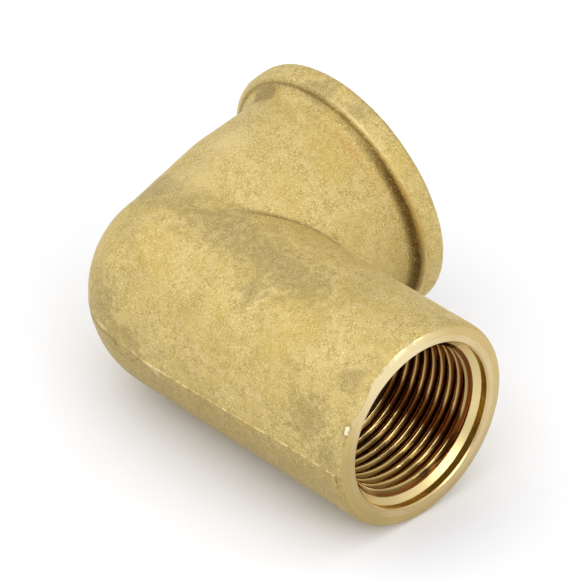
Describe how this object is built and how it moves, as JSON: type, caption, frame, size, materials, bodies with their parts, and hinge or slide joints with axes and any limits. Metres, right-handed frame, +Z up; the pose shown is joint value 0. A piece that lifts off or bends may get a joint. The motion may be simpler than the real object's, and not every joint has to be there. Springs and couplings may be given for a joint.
{
  "type": "elbow fitting",
  "caption": "Forged brass elbow with a long female-threaded barrel and, at a right angle, a short flared neck ending in a collar with a larger female thread.",
  "frame": {"origin": "middle of the lying part's outer box, on the surface that the part lies on", "axes": "+X along the barrel's axis, out of its threaded mouth; +Z up as the part lies on its side on the barrel's flank and the collar's rim; the neck points to +Y and rises by about 9 degrees"},
  "size_m": [0.0724, 0.053, 0.0438],
  "materials": {
    "brass": "satin tumbled and lightly tarnished forging skin, with bright turned faces and threads at both mouths"
  },
  "bodies": {
    "root": {"elbow_body": "brass"}
  },
  "joints": []
}
